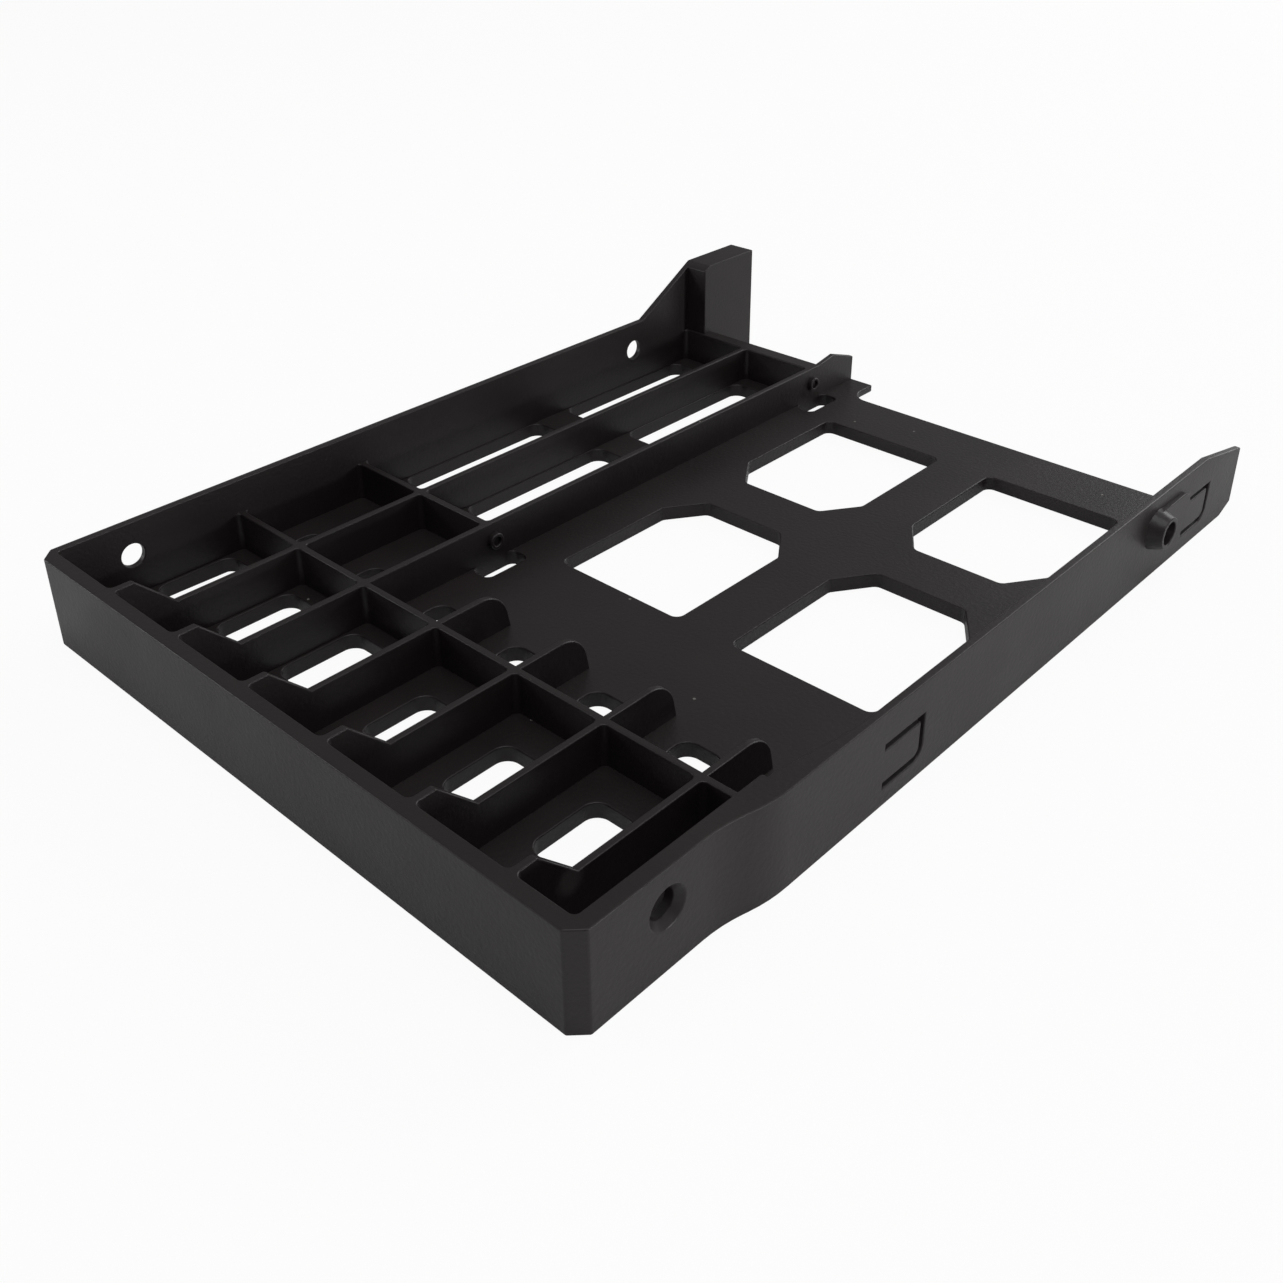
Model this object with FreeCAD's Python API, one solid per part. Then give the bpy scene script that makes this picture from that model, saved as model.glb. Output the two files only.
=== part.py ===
"""Hard drive tray: one moulding that carries a 2.5-inch drive in a bay of 3.5-inch width.

X runs across the front from left to right, Y from the front wall to the rear, Z up, in millimetres.
The solid is drawn from its front left bottom corner and then moved, so that the origin lies in the
middle of the bottom of its bounding box. Overall width and depth follow from the drive, the cells
and the walls.
"""
import math
import os

import FreeCAD
import Part

V = FreeCAD.Vector

# Standard drive that the tray carries, and its clearances in the bay
DRIVE_W = 69.85
DRIVE_L = 100.2
DRIVE_HOLE_FROM_END = 14.0
DRIVE_HOLE_PITCH = 76.6
DRIVE_HOLE_Z = 3.0
DRIVE_SIDE_CLEAR = 0.25
DRIVE_END_CLEAR = 0.9

# Walls and floor
WALL_H = 13.4
FLOOR_T = 2.3
FRONT_T = 2.1
SIDE_T = 1.1
CORNER_CUT = 1.75

# Lattice: lanes left of the bay, cells in front of it, ribs and cross walls between them
CELL_W = 13.9
CELL_L = 27.1
LANE_CELL_L = 20.8
LANE_COUNT = 2
BAY_RIB_COUNT = 4
RIB_T = 1.0
LATTICE_H = 8.2
CELL_R = 0.8
REAR_WALL_T = 2.6
REAR_WALL_SETBACK = 14.5
STUB_L = 2.9
GUSSET_L = 5.3
STOP_L = 11.7
STOP_SLOPE_L = 1.2
STOP_R = 4.5

# Right wall: set back beside the front cells, then stepping out to the rail
STEP_OUT = 1.6
STEP_L = 6.0
STEP_LEAD = 2.6
STEP_R = 22.0
STEP_WALL_T = 2.1
RAIL_ROOT_T = 3.0

# Openings in the floor: distances from the walls round them
SLOT_R = 1.9
WIDE_SLOT_SIDE = 0.5
WIDE_SLOT_FRONT = 12.0
WIDE_SLOT_REAR = 2.6
NARROW_SLOT_SIDE = 3.5
NARROW_SLOT_FRONT = 11.4
NARROW_SLOT_REAR = 5.0
CROSS_SLOT_SIDE = 3.8
CROSS_SLOT_FRONT = 4.3
CROSS_SLOT_L = 4.7
LANE_SLOT_SIDE = 0.2
LANE_SLOT_FRONT = 7.0
LANE_SLOT_REAR = 3.1
LANE_SLOT_BAR = 6.9
WINDOW_W = 22.5
WINDOW_L = 28.0
WINDOW_BAR_X = 9.3
WINDOW_BAR_Y = 9.4
WINDOW_REAR = 11.4
WINDOW_CUT_X = 4.1
WINDOW_CUT_Y = 5.9
WINDOW_R = 1.3

# Rear end: the floor stops short, with a tongue beside the bay wall and beside the rail
FLOOR_SETBACK = 8.1
TONGUE_SETBACK = 1.4
TONGUE_W = 4.6
TONGUE_T = 1.3
TONGUE_R = 3.1
TAIL_PEAK_SETBACK = 7.5
TAIL_PEAK_RISE = 0.7
TAIL_END_DROP = 1.4
RAIL_SLOPE_L = 12.9
RAIL_END_DROP = 2.8
RAIL_TOE_L = 3.5
RAIL_TOE_H = 1.4

# Raised ear at the left rear corner
EAR_RISE = 8.0
EAR_W = 5.4
EAR_L = 14.0
EAR_TOP_L = 12.6
EAR_RAMP_L = 13.8

# Locating studs and the openings under them
STUD_R = 1.25
STUD_L = 0.8
STUD_ROOT = 0.6
STUD_DIMPLE_R = 0.7
STUD_DIMPLE_DEPTH = 0.5
STUD_SLOT_W = 3.5
STUD_SLOT_FRONT = 4.7
STUD_SLOT_REAR = 3.3
STUD_SLOT_R = 1.2

# Snap tongues in the rail, freed by U-shaped gaps that end behind each stud
SNAP_L = 8.0
SNAP_H = 6.2
SNAP_FLOOR_CLEAR = 0.3
SNAP_REACH = (2.4, 3.4)
SNAP_GAP = 0.8
SNAP_R = 2.0

# Side holes, and the boss round the rear one on the rail, with a low tail placed from that hole
SIDE_HOLE_Y = 12.4
SIDE_HOLE_PITCH = 101.6
SIDE_HOLE_Z = 8.3
SIDE_HOLE_R = 1.75
SINK_R = 2.65
BOSS_ROOT_R = 3.1
BOSS_TIP_R = 2.4
BOSS_H = 2.2
PAD_H = 0.7
PAD_TAIL_R = 2.5
PAD_TAIL_OFFSET = (7.4, 0.3)

# Overshoot of cutting tools, share of a side that its fillets may use, and equality limit
OVER = 1.0
FILLET_SHARE = 0.45
TOL = 1e-4


def box(x, y, z):
    """Box between pairs of limits along the three axes."""
    return Part.makeBox(x[1] - x[0], y[1] - y[0], z[1] - z[0], V(x[0], y[0], z[0]))


def plan_prism(points, z):
    """Upright prism over a plan polygon of (x, y) corners, between two heights."""
    corners = [V(px, py, z[0]) for px, py in points]
    face = Part.Face(Part.makePolygon(corners + corners[:1]))
    return face.extrude(V(0, 0, z[1] - z[0]))


def side_prism(points, x):
    """Prism along X over a polygon of (y, z) corners, between two limits in X."""
    corners = [V(x[0], py, pz) for py, pz in points]
    face = Part.Face(Part.makePolygon(corners + corners[:1]))
    return face.extrude(V(x[1] - x[0], 0, 0))


def along(solid, axis):
    """Straight edges of a solid that run along one axis, 0 for X and 2 for Z."""
    found = []
    for edge in solid.Edges:
        ends = [vertex.Point for vertex in edge.Vertexes]
        if len(ends) == 2 and abs(ends[1][axis] - ends[0][axis]) > edge.Length - TOL:
            found.append(edge)
    return found


def upright_at(solid, points):
    """Upright edges of a solid that stand on the given plan points."""
    found = []
    for edge in along(solid, 2):
        foot = edge.Vertexes[0].Point
        if any(abs(foot.x - px) < TOL and abs(foot.y - py) < TOL for px, py in points):
            found.append(edge)
    return found


def pocket(x, y, z, radius):
    """Cutting box with rounded upright edges, the radius limited by the shorter side."""
    block = box(x, y, z)
    limit = FILLET_SHARE * min(x[1] - x[0], y[1] - y[0])
    return block.makeFillet(min(radius, limit), along(block, 2))


def rod(start, direction, radius, length):
    """Cylinder from a start point along a direction."""
    return Part.makeCylinder(radius, length, start, direction)


# Places across the tray, from left to right
bay_w = DRIVE_W + DRIVE_SIDE_CLEAR
rib_pitch = CELL_W + RIB_T
rib_count = LANE_COUNT + BAY_RIB_COUNT
rib_right = [SIDE_T + (number + 1) * rib_pitch for number in range(rib_count)]
rib_left = [right - RIB_T for right in rib_right]
bay_left = rib_right[LANE_COUNT - 1]
bay_wall_left = rib_left[LANE_COUNT - 1]
rail_in = bay_left + bay_w
rail_out = rail_in + SIDE_T
front_right = rail_out - STEP_OUT
cells_right = front_right - STEP_WALL_T
boss_out = rail_out + BOSS_H
cell_x = list(zip([SIDE_T] + rib_right, rib_left + [cells_right]))
lanes = cell_x[:LANE_COUNT]

# Places along the tray, from front to rear
cross_a = FRONT_T + CELL_L
cross_a_rear = cross_a + RIB_T
cross_b = cross_a_rear + LANE_CELL_L
cross_b_rear = cross_b + RIB_T
stop_end = cross_a_rear + STOP_L
depth = stop_end + DRIVE_END_CLEAR + DRIVE_L
rear_wall = depth - REAR_WALL_SETBACK
rear_wall_end = rear_wall + REAR_WALL_T
floor_end = depth - FLOOR_SETBACK
tongue_end = depth - TONGUE_SETBACK
stud_rear = depth - DRIVE_HOLE_FROM_END
stud_y = [stud_rear - DRIVE_HOLE_PITCH, stud_rear]
hole_y = [SIDE_HOLE_Y, SIDE_HOLE_Y + SIDE_HOLE_PITCH]

# Heights, and the two directions across
stud_z = FLOOR_T + DRIVE_HOLE_Z
ear_top = WALL_H + EAR_RISE
above_floor = (FLOOR_T, WALL_H + OVER)
above_lattice = (LATTICE_H, WALL_H + OVER)
through_floor = (-OVER, FLOOR_T + OVER)
to_right = V(1, 0, 0)
to_left = V(-1, 0, 0)

# Blank: the outline of the whole moulding at wall height
tongue_left = bay_left + TONGUE_W
tongue_right = rail_in - TONGUE_W
step_end = cross_a - STEP_LEAD
step_start = step_end - STEP_L
outline = [
    (CORNER_CUT, 0),
    (front_right - CORNER_CUT, 0),
    (front_right, CORNER_CUT),
    (front_right, step_start),
    (rail_out, step_end),
    (rail_out, depth),
    (rail_in, depth),
    (rail_in, tongue_end),
    (tongue_right, tongue_end),
    (tongue_right, floor_end),
    (tongue_left, floor_end),
    (tongue_left, tongue_end),
    (bay_wall_left, tongue_end),
    (bay_wall_left, rear_wall_end),
    (EAR_W, rear_wall_end),
    (EAR_W, depth),
    (0, depth),
    (0, CORNER_CUT),
]
tray = plan_prism(outline, (0, WALL_H))
step_turn = math.atan2(STEP_OUT, STEP_L)
step_limit = FILLET_SHARE * math.hypot(STEP_OUT, STEP_L) / math.tan(step_turn / 2)
step_corners = upright_at(tray, [(front_right, step_start), (rail_out, step_end)])
tray = tray.makeFillet(min(STEP_R, step_limit), step_corners)
notch_corners = upright_at(tray, [(tongue_left, floor_end), (tongue_right, floor_end)])
tray = tray.makeFillet(TONGUE_R, notch_corners)

# Cells of the lattice, the lanes on the left and the drive bay
cuts = [pocket(x, (FRONT_T, cross_a), above_floor, CELL_R) for x in cell_x]
for x in lanes:
    cuts.append(pocket(x, (cross_a_rear, cross_b), above_floor, CELL_R))
    cuts.append(pocket(x, (cross_b_rear, rear_wall), above_floor, CELL_R))
rail_root = rail_out - RAIL_ROOT_T
bay_outline = [
    (bay_left, cross_a_rear),
    (rail_root, cross_a_rear),
    (rail_in, stop_end),
    (rail_in, depth + OVER),
    (bay_left, depth + OVER),
]
cuts.append(plan_prism(bay_outline, above_floor))

# Lattice height: stubs stay at the front wall and slope down to the ribs
stub_end = FRONT_T + STUB_L
stub_profile = [
    (stub_end, WALL_H + OVER),
    (stub_end, WALL_H),
    (stub_end + GUSSET_L, LATTICE_H),
    (cross_a_rear, LATTICE_H),
    (cross_a_rear, WALL_H + OVER),
]
cuts.append(side_prism(stub_profile, (SIDE_T, cells_right)))
cuts.append(box((cells_right, rail_root), (cross_a, cross_a_rear), above_lattice))
cuts.append(box((SIDE_T, bay_left), (cross_a_rear, rear_wall_end), above_lattice))

# Bay wall's tail, the thin tongues of the floor and the rail's rear end
tail_profile = [
    (rear_wall_end, WALL_H),
    (rear_wall_end, LATTICE_H),
    (depth - TAIL_PEAK_SETBACK, LATTICE_H + TAIL_PEAK_RISE),
    (tongue_end, LATTICE_H - TAIL_END_DROP),
    (tongue_end, WALL_H),
]
cuts.append(side_prism(tail_profile, (bay_wall_left, bay_left)))
below_tongue = (0, FLOOR_T - TONGUE_T)
cuts.append(box((bay_wall_left, rail_in), (floor_end, tongue_end), below_tongue))
rail_x = (rail_in, rail_out)
rail_top_profile = [(depth - RAIL_SLOPE_L, WALL_H), (depth, WALL_H - RAIL_END_DROP), (depth, WALL_H)]
cuts.append(side_prism(rail_top_profile, rail_x))
rail_toe_profile = [(depth - RAIL_TOE_L, 0), (depth, 0), (depth, RAIL_TOE_H)]
cuts.append(side_prism(rail_toe_profile, rail_x))

# Floor openings of the front cells and behind cross wall A: wide on the left, narrow on the right
wide_y = (FRONT_T + WIDE_SLOT_FRONT, cross_a - WIDE_SLOT_REAR)
narrow_y = (FRONT_T + NARROW_SLOT_FRONT, cross_a - NARROW_SLOT_REAR)
cross_slot_start = cross_a_rear + CROSS_SLOT_FRONT
cross_y = (cross_slot_start, cross_slot_start + CROSS_SLOT_L)
for number, (left, right) in enumerate(cell_x[:rib_count]):
    if number < rib_count // 2:
        wide_x = (left + WIDE_SLOT_SIDE, right - WIDE_SLOT_SIDE)
        cuts.append(pocket(wide_x, wide_y, through_floor, SLOT_R))
    else:
        narrow_x = (left + NARROW_SLOT_SIDE, right - NARROW_SLOT_SIDE)
        cuts.append(pocket(narrow_x, narrow_y, through_floor, SLOT_R))
    cross_x = (left + CROSS_SLOT_SIDE, right - CROSS_SLOT_SIDE)
    cuts.append(pocket(cross_x, cross_y, through_floor, SLOT_R))

# Two long floor openings in each lane
lane_front = cross_b_rear + LANE_SLOT_FRONT
lane_rear = rear_wall - LANE_SLOT_REAR
lane_slot_l = (lane_rear - lane_front - LANE_SLOT_BAR) / 2
for left, right in lanes:
    lane_x = (left + LANE_SLOT_SIDE, right - LANE_SLOT_SIDE)
    for start in (lane_front, lane_rear - lane_slot_l):
        cuts.append(pocket(lane_x, (start, start + lane_slot_l), through_floor, SLOT_R))

# Four windows in the bay floor, cut off at the corners beside the middle bar
bar_rear = floor_end - WINDOW_REAR - WINDOW_L
bar_front = bar_rear - WINDOW_BAR_Y
window_left = bay_left + (bay_w - WINDOW_BAR_X) / 2 - WINDOW_W
for left in (window_left, window_left + WINDOW_W + WINDOW_BAR_X):
    right = left + WINDOW_W
    for bar, outward in ((bar_front, -1), (bar_rear, 1)):
        shoulder = bar + outward * WINDOW_CUT_Y
        far = bar + outward * WINDOW_L
        window_outline = [
            (left, far),
            (left, shoulder),
            (left + WINDOW_CUT_X, bar),
            (right - WINDOW_CUT_X, bar),
            (right, shoulder),
            (right, far),
        ]
        window = plan_prism(window_outline, through_floor)
        cuts.append(window.makeFillet(WINDOW_R, along(window, 2)))

# Openings in the floor under the studs, on both sides of the bay
for y in stud_y:
    span = (y - STUD_SLOT_FRONT, y + STUD_SLOT_REAR)
    for x in ((bay_left, bay_left + STUD_SLOT_W), (rail_in - STUD_SLOT_W, rail_in)):
        cuts.append(pocket(x, span, through_floor, STUD_SLOT_R))

# U-shaped gaps that free the snap tongues, rounded at their lower rear corner
snap_bottom = FLOOR_T + SNAP_FLOOR_CLEAR
snap_top = snap_bottom + SNAP_H
for y, reach in zip(stud_y, SNAP_REACH):
    end = y + reach
    around = box(rail_x, (end - SNAP_L, end), (snap_bottom, snap_top))
    tongue_y = (end - SNAP_L - OVER, end - SNAP_GAP)
    tongue = box(rail_x, tongue_y, (snap_bottom + SNAP_GAP, snap_top - SNAP_GAP))
    rounded = []
    for block, radius in ((around, SNAP_R), (tongue, SNAP_R - SNAP_GAP)):
        corner = [e for e in along(block, 0) if e.CenterOfMass.y > y and e.CenterOfMass.z < stud_z]
        rounded.append(block.makeFillet(radius, corner))
    cuts.append(rounded[0].cut(rounded[1]))

tray = tray.cut(cuts)

# Stops carry the ribs in front of the bay on behind cross wall A, with a rounded nose
adds = []
stop_profile = [
    (cross_a, 0),
    (cross_a, LATTICE_H),
    (stop_end - STOP_SLOPE_L, LATTICE_H),
    (stop_end, FLOOR_T),
    (stop_end, 0),
]
for left, right in list(zip(rib_left, rib_right))[LANE_COUNT:]:
    stop = side_prism(stop_profile, (left, right))
    nose = [e for e in along(stop, 0) if abs(e.CenterOfMass.y - stop_end + STOP_SLOPE_L) < TOL]
    adds.append(stop.makeFillet(STOP_R, nose))

# Studs with dimpled ends, on the bay wall and on the snap tongues
for y in stud_y:
    for face_x, direction in ((bay_left, to_right), (rail_in, to_left)):
        face = V(face_x, y, stud_z)
        stud = rod(face - direction * STUD_ROOT, direction, STUD_R, STUD_ROOT + STUD_L)
        dimple_start = face + direction * (STUD_L - STUD_DIMPLE_DEPTH)
        adds.append(stud.cut(rod(dimple_start, direction, STUD_DIMPLE_R, STUD_DIMPLE_DEPTH)))

# Drafted boss about the rear hole, and a low pad that tapers from it to a smaller round tail
rear_hole = V(rail_in, hole_y[1], SIDE_HOLE_Z)
boss_draft = (BOSS_ROOT_R - BOSS_TIP_R) / BOSS_H
boss_base_r = BOSS_ROOT_R + SIDE_T * boss_draft
boss = Part.makeCone(boss_base_r, BOSS_TIP_R, SIDE_T + BOSS_H, rear_hole, to_right)
pad_head_r = BOSS_ROOT_R - PAD_H * boss_draft
pad_tail = rear_hole + V(0, *PAD_TAIL_OFFSET)
pad_axis = pad_tail - rear_hole
pad_lean = (pad_head_r - PAD_TAIL_R) / pad_axis.Length
pad_rise = math.sqrt(1 - pad_lean ** 2)
pad_along = pad_axis.normalize()
pad_across = to_right.cross(pad_along)
pad_flanks = []
for side in (pad_across, -pad_across):
    lean = pad_along * pad_lean + side * pad_rise
    pad_flanks.append([rear_hole + lean * pad_head_r, pad_tail + lean * PAD_TAIL_R])
pad_corners = [(corner.y, corner.z) for corner in pad_flanks[0] + pad_flanks[1][::-1]]
pad = side_prism(pad_corners, (rail_in, rail_out + PAD_H))
tail = rod(pad_tail, to_right, PAD_TAIL_R, SIDE_T + PAD_H)
adds.append(pad.fuse([boss, tail]).removeSplitter())

# Ear: the left wall ramps up to a block
ear_profile = [
    (depth - EAR_TOP_L - EAR_RAMP_L, WALL_H),
    (depth - EAR_TOP_L, ear_top),
    (depth, ear_top),
    (depth, WALL_H),
]
adds.append(side_prism(ear_profile, (0, SIDE_T)))
ear_side = ear_profile + [(depth, 0), (depth - EAR_TOP_L - EAR_RAMP_L, 0)]
ear = side_prism(ear_side, (0, EAR_W))
ear_y = (depth - EAR_L, depth)
adds.append(ear.common(box((0, EAR_W), ear_y, (0, ear_top))))
tray = tray.fuse(adds)

# The ear's block is hollow from below, with walls like the sides
core_y = (ear_y[0] + SIDE_T, ear_y[1] - SIDE_T)
hollows = [ear.common(box((SIDE_T, EAR_W - SIDE_T), core_y, (0, ear_top - SIDE_T)))]

# Side holes: plain in the left wall and the boss, countersunk in the right wall
for y in hole_y:
    hollows.append(rod(V(-OVER, y, SIDE_HOLE_Z), to_right, SIDE_HOLE_R, SIDE_T + OVER + OVER))
    bore_start = V(cells_right - OVER, y, SIDE_HOLE_Z)
    hollows.append(rod(bore_start, to_right, SIDE_HOLE_R, boss_out + OVER - bore_start.x))
sink_start = V(front_right, SIDE_HOLE_Y, SIDE_HOLE_Z)
hollows.append(Part.makeCone(SINK_R, SIDE_HOLE_R, SINK_R - SIDE_HOLE_R, sink_start, to_left))
tray = tray.cut(hollows).removeSplitter()

tray.translate(V(-boss_out / 2, -depth / 2, 0))
solid = tray.Solids[0]
os.makedirs("parts", exist_ok=True)
solid.exportStep("parts/tray.step")
extent = solid.BoundBox
print("tray solids", len(tray.Solids), "valid", solid.isValid(), "volume", round(solid.Volume, 1))
print("box", round(extent.XLength, 2), round(extent.YLength, 2), round(extent.ZLength, 2))
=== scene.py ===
"""Look of the hard drive tray: one black moulding on a white table, in soft studio light.

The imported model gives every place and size. This script rounds the edges of the moulding, dresses
it in textured ABS, and adds the table, the lamps and the camera.
"""
import logging
import math
from dataclasses import dataclass
from enum import Enum

import bmesh
import bpy
import numpy as np
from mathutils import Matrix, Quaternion, Vector

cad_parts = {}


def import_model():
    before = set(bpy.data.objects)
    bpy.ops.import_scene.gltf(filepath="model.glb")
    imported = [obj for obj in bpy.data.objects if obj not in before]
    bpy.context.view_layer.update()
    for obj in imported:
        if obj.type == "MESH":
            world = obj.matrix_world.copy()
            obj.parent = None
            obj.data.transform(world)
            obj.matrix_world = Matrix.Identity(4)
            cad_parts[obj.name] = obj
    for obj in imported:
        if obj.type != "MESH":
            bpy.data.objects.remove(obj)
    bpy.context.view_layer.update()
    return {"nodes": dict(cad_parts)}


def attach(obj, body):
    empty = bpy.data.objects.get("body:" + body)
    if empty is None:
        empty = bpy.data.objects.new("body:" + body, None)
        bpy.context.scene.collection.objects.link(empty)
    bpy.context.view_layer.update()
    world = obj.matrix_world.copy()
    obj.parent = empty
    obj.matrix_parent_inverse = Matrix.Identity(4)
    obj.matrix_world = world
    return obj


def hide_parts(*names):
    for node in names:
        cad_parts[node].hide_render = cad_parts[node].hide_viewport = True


LOG = logging.getLogger("drive_tray")
MM = 0.001
PHOTO_PIXELS = 1283
WHITE = (1.0, 1.0, 1.0, 1.0)
FULL = 1.0

# Share of plain white in the table and the room: for camera rays, and for glossy and transmission rays.
SEEN_WHITE = 0.93
MIRRORED_WHITE = 0.04

# Blender's Mix node has its colour inputs at 6 and 7, and its colour output here.
MIX_COLOUR = 2

# The sRGB curve is a straight line up to the knee and a power above it.
SRGB_TOP = 255
SRGB_KNEE = 0.04045
SRGB_SLOPE = 12.92
SRGB_OFFSET = 0.055
SRGB_POWER = 2.4


class Body(Enum):
    """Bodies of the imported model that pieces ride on."""

    MOULDING = "root"


class Slot(Enum):
    """Material slots of the record."""

    PLASTIC = "tray_plastic"


def linear(hex_colour: str) -> tuple[float, float, float, float]:
    """Turn an sRGB hex colour to linear light.

    Args:
        hex_colour: colour as #rrggbb.

    Returns:
        Linear red, green, blue and an alpha of 1.
    """
    levels = np.array(list(bytes.fromhex(hex_colour.removeprefix("#")))) / SRGB_TOP
    low = levels / SRGB_SLOPE
    high = ((levels + SRGB_OFFSET) / (1 + SRGB_OFFSET)) ** SRGB_POWER
    red, green, blue = np.where(levels <= SRGB_KNEE, low, high)
    return float(red), float(green), float(blue), FULL


def add_node(
    tree: bpy.types.NodeTree, kind: str, settings: dict[str, object] | None = None, **inputs: object,
) -> bpy.types.Node:
    """Add one node with its settings and links.

    Args:
        tree: node tree that takes the node.
        kind: Blender's name of the node type.
        settings: attributes of the node.
        inputs: input sockets by name with spaces as underscores, or by number as in_0. A socket
            is linked, and any other value is set.

    Returns:
        The new node.
    """
    node = tree.nodes.new(kind)
    for name, value in (settings or {}).items():
        setattr(node, name, value)
    for name, value in inputs.items():
        number = name.removeprefix("in_")
        socket = node.inputs[int(number) if number.isdigit() else name.replace("_", " ")]
        if isinstance(value, bpy.types.NodeSocket):
            tree.links.new(value, socket)
        else:
            socket.default_value = value
    return node


def new_tree(name: str) -> tuple[bpy.types.Material, bpy.types.NodeTree]:
    """Make an empty node material.

    Args:
        name: name of the material.

    Returns:
        The material and its cleared node tree.
    """
    material = bpy.data.materials.new(name)
    material.use_nodes = True
    material.node_tree.nodes.clear()
    return material, material.node_tree


def white_share(tree: bpy.types.NodeTree) -> bpy.types.NodeSocket:
    """Share of plain white in the backdrop: high where it is seen, low where a surface mirrors it.

    Args:
        tree: node tree of the table or the room.

    Returns:
        Socket with SEEN_WHITE for camera rays, MIRRORED_WHITE for glossy and transmission rays,
        and 0 for the rays that light the tray.
    """
    path = add_node(tree, "ShaderNodeLightPath").outputs
    mirrored = add_node(
        tree, "ShaderNodeMath", {"operation": "MAXIMUM"},
        in_0=path["Is Glossy Ray"], in_1=path["Is Transmission Ray"],
    )
    dimmed = add_node(
        tree, "ShaderNodeMath", {"operation": "MULTIPLY"},
        in_0=mirrored.outputs["Value"], in_1=MIRRORED_WHITE,
    )
    share = add_node(
        tree, "ShaderNodeMath", {"operation": "MULTIPLY_ADD"},
        in_0=path["Is Camera Ray"], in_1=SEEN_WHITE, in_2=dimmed.outputs["Value"],
    )
    return share.outputs["Value"]


def read_all(items: bpy.types.bpy_prop_collection, name: str, kind: type, width: int = 1) -> np.ndarray:
    """Read one property of all items of a mesh.

    Args:
        items: faces or face corners of a mesh.
        name: name of the property.
        kind: numpy type in which Blender keeps it.
        width: numbers that the property has.

    Returns:
        The values, with a row for each item where the property has more than one number.
    """
    values = np.empty(len(items) * width, dtype=kind)
    items.foreach_get(name, values)
    return values.reshape(-1, width) if width > 1 else values


@dataclass(frozen=True)
class MouldedAbs:
    """Black ABS, injection moulded in a spark-eroded tool.

    The eye sees a near-black body with a satin gloss that a fine grain breaks up, slow cloudy
    changes of tone, and a few pale specks of dust on the flats.
    """

    name: str = "abs_black_spark_eroded"
    body_hex: str = "#1b1718"
    cloud_hex: str = "#231d1e"
    dust_hex: str = "#6a6864"
    cloud_mm: float = 16.0
    cloud_detail: float = 3.0
    grain_mm: float = 0.6
    grain_detail: float = 2.0
    grain_height_mm: float = 0.033
    dust_cell_mm: float = 11.0
    dust_radius_mm: float = 0.2
    dust_share: float = 0.2
    dust_least_rise: float = 0.95
    roughness: float = 0.42
    roughness_swing: float = 0.1
    ior: float = 1.53
    specular_level: float = 0.31

    def material(self) -> bpy.types.Material:
        """Make the plastic as a node material on Object coordinates.

        The real grain is about 0.1 mm wide, too fine to show, so it is drawn several times coarser.

        Returns:
            The material.
        """
        material, tree = new_tree(self.name)
        place = add_node(tree, "ShaderNodeTexCoord").outputs["Object"]
        cloud = add_node(
            tree, "ShaderNodeTexNoise",
            Vector=place, Scale=1 / (self.cloud_mm * MM), Detail=self.cloud_detail,
        )
        grain = add_node(
            tree, "ShaderNodeTexNoise",
            Vector=place, Scale=1 / (self.grain_mm * MM), Detail=self.grain_detail,
        )
        tone = add_node(
            tree, "ShaderNodeMix", {"data_type": "RGBA"},
            in_0=cloud.outputs["Fac"], in_6=linear(self.body_hex), in_7=linear(self.cloud_hex),
        )
        colour = add_node(
            tree, "ShaderNodeMix", {"data_type": "RGBA"},
            in_0=self.dust(tree, place), in_6=tone.outputs[MIX_COLOUR], in_7=linear(self.dust_hex),
        )
        gloss = add_node(
            tree, "ShaderNodeMapRange", Value=cloud.outputs["Fac"],
            To_Min=self.roughness - self.roughness_swing, To_Max=self.roughness + self.roughness_swing,
        )
        relief = add_node(
            tree, "ShaderNodeBump",
            Height=grain.outputs["Fac"], Strength=FULL, Distance=self.grain_height_mm * MM,
        )
        shader = add_node(
            tree, "ShaderNodeBsdfPrincipled", Base_Color=colour.outputs[MIX_COLOUR],
            Roughness=gloss.outputs["Result"], Normal=relief.outputs["Normal"],
            IOR=self.ior, Specular_IOR_Level=self.specular_level,
        )
        add_node(tree, "ShaderNodeOutputMaterial", Surface=shader.outputs["BSDF"])
        return material

    def dust(self, tree: bpy.types.NodeTree, place: bpy.types.NodeSocket) -> bpy.types.NodeSocket:
        """Mask of sparse specks: small discs about the points of a few cells, on faces that look up.

        Args:
            tree: node tree of the material.
            place: socket of the Object coordinates.

        Returns:
            Socket that is 1 on a speck and 0 elsewhere.
        """
        cells = add_node(
            tree, "ShaderNodeTexVoronoi", {"voronoi_dimensions": "2D"},
            Vector=place, Scale=1 / (self.dust_cell_mm * MM),
        )
        chance = add_node(tree, "ShaderNodeSeparateColor", Color=cells.outputs["Color"])
        surface = add_node(tree, "ShaderNodeNewGeometry")
        facing = add_node(tree, "ShaderNodeSeparateXYZ", Vector=surface.outputs["True Normal"])
        tests = (
            ("LESS_THAN", cells.outputs["Distance"], self.dust_radius_mm / self.dust_cell_mm),
            ("LESS_THAN", chance.outputs["Red"], self.dust_share),
            ("GREATER_THAN", facing.outputs["Z"], self.dust_least_rise),
        )
        near, chosen, upward = (
            add_node(tree, "ShaderNodeMath", {"operation": operation}, in_0=value, in_1=limit)
            for operation, value, limit in tests
        )
        disc = add_node(
            tree, "ShaderNodeMath", {"operation": "MULTIPLY"},
            in_0=near.outputs["Value"], in_1=chosen.outputs["Value"],
        )
        speck = add_node(
            tree, "ShaderNodeMath", {"operation": "MULTIPLY"},
            in_0=disc.outputs["Value"], in_1=upward.outputs["Value"],
        )
        return speck.outputs["Value"]


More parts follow.
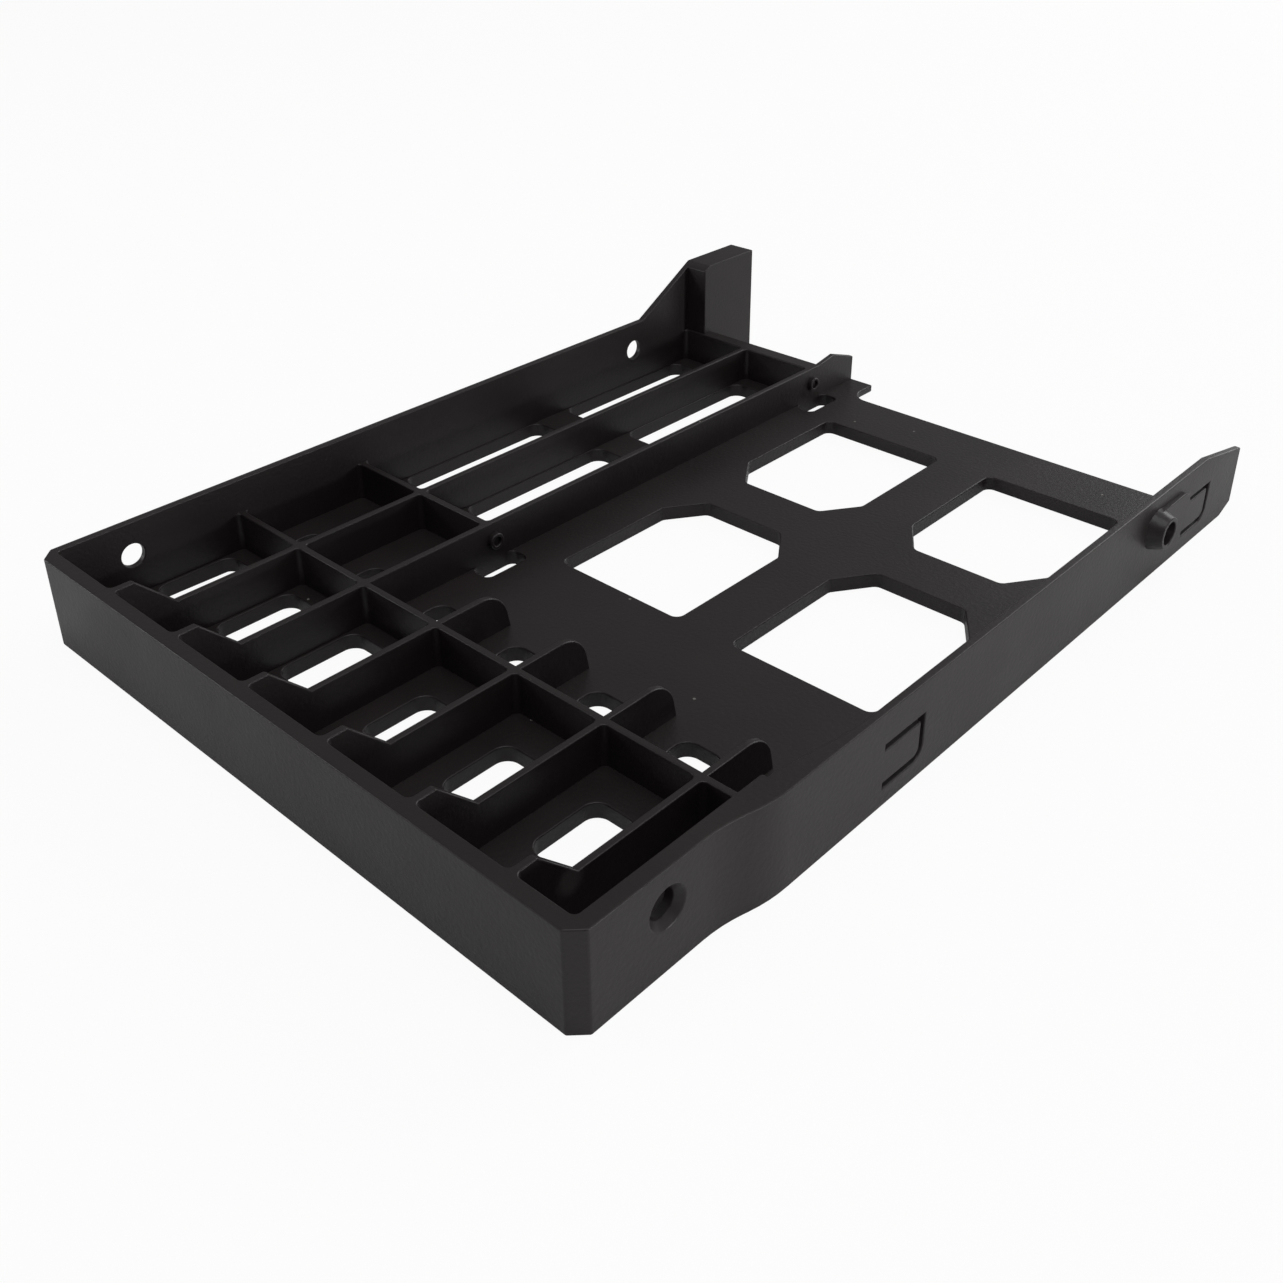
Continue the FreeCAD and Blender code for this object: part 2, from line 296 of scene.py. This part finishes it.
@dataclass(frozen=True)
class WhiteTable:
    """Table top in rolled matt white paint.

    The eye sees an even white without gloss, on which the tray leaves only a faint shadow.
    """

    name: str = "table_matt_white"
    paint_hex: str = "#e8e8e8"
    roughness: float = 0.9

    def material(self) -> bpy.types.Material:
        """Make the paint, mixed with plain white by the kind of ray.

        Returns:
            The material, which is clear from below so that the underside can be looked at.
        """
        material, tree = new_tree(self.name)
        paint = add_node(
            tree, "ShaderNodeBsdfPrincipled",
            Base_Color=linear(self.paint_hex), Roughness=self.roughness,
        )
        plain = add_node(tree, "ShaderNodeEmission", Strength=FULL)
        top = add_node(
            tree, "ShaderNodeMixShader",
            in_0=white_share(tree), in_1=paint.outputs["BSDF"], in_2=plain.outputs["Emission"],
        )
        surface = add_node(tree, "ShaderNodeNewGeometry")
        under = add_node(tree, "ShaderNodeBsdfTransparent")
        both = add_node(
            tree, "ShaderNodeMixShader", in_0=surface.outputs["Backfacing"],
            in_1=top.outputs["Shader"], in_2=under.outputs["BSDF"],
        )
        add_node(tree, "ShaderNodeOutputMaterial", Surface=both.outputs["Shader"])
        return material


@dataclass
class Tray:
    """The moulding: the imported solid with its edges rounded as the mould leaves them.

    Edges that turn by less than flat_angle_deg are dissolved. Those that stand out and turn by
    more than edge_angle_deg are rounded, over at most width_share of the faces beside them.
    """

    node: bpy.types.Object
    finish: MouldedAbs
    edge_radius_mm: float = 0.2
    edge_segments: int = 2
    edge_angle_deg: float = 33.0
    edge_mark: int = 1
    strip_blend_deg: float = 50.0
    merge_mm: float = 0.0005
    flat_angle_deg: float = 0.3
    width_share: float = 0.4

    def build(self) -> bpy.types.Object:
        """Copy the solid, join its triangles to flat faces and round the edges that stand out.

        Returns:
            The visible moulding.
        """
        shell = bmesh.new()
        shell.from_mesh(self.node.data)
        bmesh.ops.remove_doubles(shell, verts=shell.verts, dist=self.merge_mm * MM)
        bmesh.ops.dissolve_limit(
            shell, angle_limit=math.radians(self.flat_angle_deg), verts=shell.verts, edges=shell.edges,
        )
        self.weigh_edges(shell)
        mesh = self.round_edges(shell)
        shell.free()
        self.shade(mesh)
        mesh.materials.clear()
        mesh.materials.append(self.finish.material())
        moulding = bpy.data.objects.new("tray_moulding", mesh)
        bpy.context.scene.collection.objects.link(moulding)
        return moulding

    def weigh_edges(self, shell: bmesh.types.BMesh) -> None:
        """Give the edges that stand out the full radius, or less where a face beside them is narrow.

        Args:
            shell: the moulding's mesh.
        """
        room = np.full(len(shell.edges), np.inf)
        shell.edges.index_update()
        for face in shell.faces:
            numbers = [loop.edge.index for loop in face.loops]
            room[numbers] = np.minimum(room[numbers], self.widths(face))
        shares = np.minimum(FULL, self.width_share * room / (self.edge_radius_mm * MM))
        weights = shell.edges.layers.float.new("bevel_weight_edge")
        limit = math.radians(self.edge_angle_deg)
        for edge in shell.edges:
            if edge.calc_face_angle_signed(0.0) > limit:
                edge[weights] = shares[edge.index]

    def widths(self, face: bmesh.types.BMFace) -> np.ndarray:
        """Measure how far a face goes on, square to each of its edges, before it ends at a corner line.

        A line goes from each edge's middle into the face, and the nearest corner line that it
        crosses gives the width.

        Args:
            face: one face of the moulding.

        Returns:
            One width for each edge of the face, infinite where no corner line lies ahead.
        """
        flat = math.radians(self.flat_angle_deg)
        ends_here = np.array([abs(loop.edge.calc_face_angle_signed(0.0)) > flat for loop in face.loops])
        starts = np.array([loop.vert.co for loop in face.loops])
        runs = np.roll(starts, -1, axis=0) - starts
        units = runs / np.linalg.norm(runs, axis=1, keepdims=True)
        inward = np.cross(face.normal, units)
        offsets = starts[None] - (starts + runs / 2)[:, None]
        with np.errstate(divide="ignore", invalid="ignore"):
            share = -np.einsum("ijk,ik->ij", offsets, units) / (units @ runs.T)
            ahead = np.einsum("ijk,ik->ij", offsets, inward) + share * (inward @ runs.T)
        met = ends_here & (share >= 0) & (share <= 1) & (ahead > self.merge_mm * MM)
        return np.where(met, ahead, np.inf).min(axis=1)

    def round_edges(self, shell: bmesh.types.BMesh) -> bpy.types.Mesh:
        """Round the weighted edges.

        Args:
            shell: the moulding's mesh with its edge weights.

        Returns:
            New mesh, in which the faces of the round edges have edge_mark as material number.
        """
        sharp = bpy.data.meshes.new("tray_sharp")
        shell.to_mesh(sharp)
        sharp.materials.clear()
        for _ in range(self.edge_mark + 1):
            sharp.materials.append(None)
        holder = bpy.data.objects.new("tray_sharp", sharp)
        bpy.context.scene.collection.objects.link(holder)
        rounding = holder.modifiers.new("edge_rounding", "BEVEL")
        rounding.width = self.edge_radius_mm * MM
        rounding.segments = self.edge_segments
        rounding.limit_method = "WEIGHT"
        rounding.use_clamp_overlap = False
        rounding.material = self.edge_mark
        rounded = holder.evaluated_get(bpy.context.evaluated_depsgraph_get())
        mesh = bpy.data.meshes.new_from_object(rounded)
        mesh.name = "tray_moulding"
        bpy.data.objects.remove(holder)
        bpy.data.meshes.remove(sharp)
        return mesh

    def shade(self, mesh: bpy.types.Mesh) -> None:
        """Blend normals along curved faces and over the round edges, so that flat faces stay flat.

        The normal at a corner of a face is the mean, weighted by area, of the normals of the faces
        that meet there and turn little from it. A face of a round edge takes in all of these, and
        any other face leaves the round edges out.

        Args:
            mesh: the rounded mesh, whose material numbers go back to 0.
        """
        mesh.shade_smooth()
        faces = mesh.polygons
        normals = read_all(faces, "normal", np.float32, 3).astype(float)
        areas = read_all(faces, "area", np.float32).astype(float)
        strips = read_all(faces, "material_index", np.int32) == self.edge_mark
        owner = np.repeat(np.arange(len(faces)), read_all(faces, "loop_total", np.int32))
        vertex = read_all(mesh.loops, "vertex_index", np.int32)
        # List every corner with each face at its vertex: by_vertex has the corners vertex by vertex.
        by_vertex = np.argsort(vertex, kind="stable")
        met = np.bincount(vertex)
        first = np.cumsum(met) - met
        count = met[vertex]
        corner = np.repeat(np.arange(len(vertex)), count)
        step = np.arange(len(corner)) - np.repeat(np.cumsum(count) - count, count)
        here = owner[corner]
        near = owner[by_vertex[first[vertex[corner]] + step]]
        limits = np.cos(np.radians([self.edge_angle_deg, self.strip_blend_deg]))
        alike = (normals[here] * normals[near]).sum(axis=1) > limits[strips[here].astype(int)]
        alike &= strips[here] | ~strips[near]
        pull = normals[near] * (areas[near] * alike)[:, None]
        blend = np.column_stack([np.bincount(corner, weights=part) for part in pull.T])
        length = np.linalg.norm(blend, axis=1, keepdims=True)
        mesh.normals_split_custom_set((blend / np.maximum(length, np.finfo(float).tiny)).tolist())
        faces.foreach_set("material_index", np.zeros(len(faces), dtype=np.int32))

    def dress(self, moulding: bpy.types.Object) -> None:
        """Tie the moulding to its body and the solid that it stands for.

        Args:
            moulding: the visible moulding.
        """
        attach(moulding, Body.MOULDING.value)
        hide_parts(self.node.name)


@dataclass(frozen=True)
class Lamp:
    """One soft box: a square lamp that looks at the tray."""

    name: str
    place_mm: tuple[float, float, float]
    side_mm: float
    watts: float

    def build(self) -> None:
        """Add the lamp to the scene."""
        light = bpy.data.lights.new(self.name, "AREA")
        light.size = self.side_mm * MM
        light.energy = self.watts
        lamp = bpy.data.objects.new(self.name, light)
        lamp.location = Vector(self.place_mm) * MM
        lamp.rotation_mode = "QUATERNION"
        lamp.rotation_quaternion = (-lamp.location).to_track_quat("-Z", "Y")
        bpy.context.scene.collection.objects.link(lamp)
        LOG.info("lamp %s of %.1f W", self.name, self.watts)


@dataclass
class Studio:
    """Table, lamps, surroundings and camera."""

    table: WhiteTable
    table_side_mm: float = 6000.0
    table_drop_mm: float = 0.05
    lamps: tuple[Lamp, ...] = (
        Lamp("soft_box_above", (250.0, -120.0, 1000.0), 700.0, 4.5),
        Lamp("soft_box_right", (850.0, 250.0, 60.0), 110.0, 2.4),
        Lamp("soft_box_rear", (120.0, 1050.0, 520.0), 700.0, 5.6),
        Lamp("soft_box_front", (-350.0, -340.0, 130.0), 110.0, 0.4),
    )
    horizon_hex: str = "#7a7a7a"
    ceiling_hex: str = "#878787"
    horizon_height: float = 0.3
    camera_place_mm: tuple[float, float, float] = (115.13, -134.02, 106.16)
    camera_azimuth_deg: float = 43.300
    camera_elevation_deg: float = 27.720
    camera_roll_deg: float = -0.573
    camera_near_mm: float = 1.0
    camera_far_mm: float = 10000.0
    focal_pixels: float = 1403.85
    centre_pixels: tuple[float, float] = (634.9, 491.04)
    sensor_mm: float = 36.0

    def build_table(self) -> None:
        """Lay a square table top just under the tray, its corners a grid of two by two points."""
        half = self.table_side_mm * MM / 2
        across, along = np.meshgrid([-half, half], [-half, half])
        down = np.full(across.size, -self.table_drop_mm * MM)
        points = np.column_stack([across.ravel(), along.ravel(), down])
        mesh = bpy.data.meshes.new("table_top")
        mesh.from_pydata(points.tolist(), [], [(0, 1, 3, 2)])
        mesh.materials.append(self.table.material())
        top = bpy.data.objects.new("table_top", mesh)
        bpy.context.scene.collection.objects.link(top)
        LOG.info("table of %.1f m", self.table_side_mm * MM)

    def build_surroundings(self) -> None:
        """Light the room dimly from all round, and show it white where it is looked at."""
        world = bpy.data.worlds.new("room")
        world.use_nodes = True
        bpy.context.scene.world = world
        tree = world.node_tree
        tree.nodes.clear()
        direction = add_node(tree, "ShaderNodeTexCoord").outputs["Generated"]
        height = add_node(tree, "ShaderNodeSeparateXYZ", Vector=direction)
        rise = add_node(
            tree, "ShaderNodeMapRange",
            Value=height.outputs["Z"], From_Min=0.0, From_Max=self.horizon_height,
        )
        tone = add_node(
            tree, "ShaderNodeMix", {"data_type": "RGBA"},
            in_0=rise.outputs["Result"], in_6=linear(self.horizon_hex), in_7=linear(self.ceiling_hex),
        )
        backdrop = add_node(
            tree, "ShaderNodeMix", {"data_type": "RGBA"},
            in_0=white_share(tree), in_6=tone.outputs[MIX_COLOUR], in_7=WHITE,
        )
        glow = add_node(tree, "ShaderNodeBackground", Color=backdrop.outputs[MIX_COLOUR], Strength=FULL)
        add_node(tree, "ShaderNodeOutputWorld", Surface=glow.outputs["Background"])

    def build_camera(self) -> None:
        """Set the camera at the photograph's place, angle, lens and framing."""
        data = bpy.data.cameras.new("camera")
        data.sensor_width = self.sensor_mm
        data.lens = self.sensor_mm * self.focal_pixels / PHOTO_PIXELS
        across, down = self.centre_pixels
        data.shift_x = (PHOTO_PIXELS / 2 - across) / PHOTO_PIXELS
        data.shift_y = (down - PHOTO_PIXELS / 2) / PHOTO_PIXELS
        data.clip_start = self.camera_near_mm * MM
        data.clip_end = self.camera_far_mm * MM
        azimuth = math.radians(self.camera_azimuth_deg)
        elevation = math.radians(self.camera_elevation_deg)
        level = math.cos(elevation)
        back = Vector((math.sin(azimuth) * level, -math.cos(azimuth) * level, math.sin(elevation)))
        camera = bpy.data.objects.new("camera", data)
        camera.location = Vector(self.camera_place_mm) * MM
        camera.rotation_mode = "QUATERNION"
        roll = Quaternion((0, 0, 1), math.radians(self.camera_roll_deg))
        camera.rotation_quaternion = (-back).to_track_quat("-Z", "Y") @ roll
        bpy.context.scene.collection.objects.link(camera)
        bpy.context.scene.camera = camera

    def build(self) -> None:
        """Add the table, the surroundings, the lamps and the camera."""
        self.build_table()
        self.build_surroundings()
        for lamp in self.lamps:
            lamp.build()
        self.build_camera()
        bpy.context.scene.view_settings.view_transform = "Standard"


def main() -> None:
    """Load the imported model, dress the tray and set up the studio."""
    logging.basicConfig(level=logging.INFO, format="%(name)s: %(message)s")
    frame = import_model()
    tray = Tray(frame["nodes"]["tray"], MouldedAbs())
    moulding = tray.build()
    tray.dress(moulding)
    LOG.info("%s with %d faces", moulding.name, len(moulding.data.polygons))
    Studio(WhiteTable()).build()


if __name__ == "__main__":
    main()
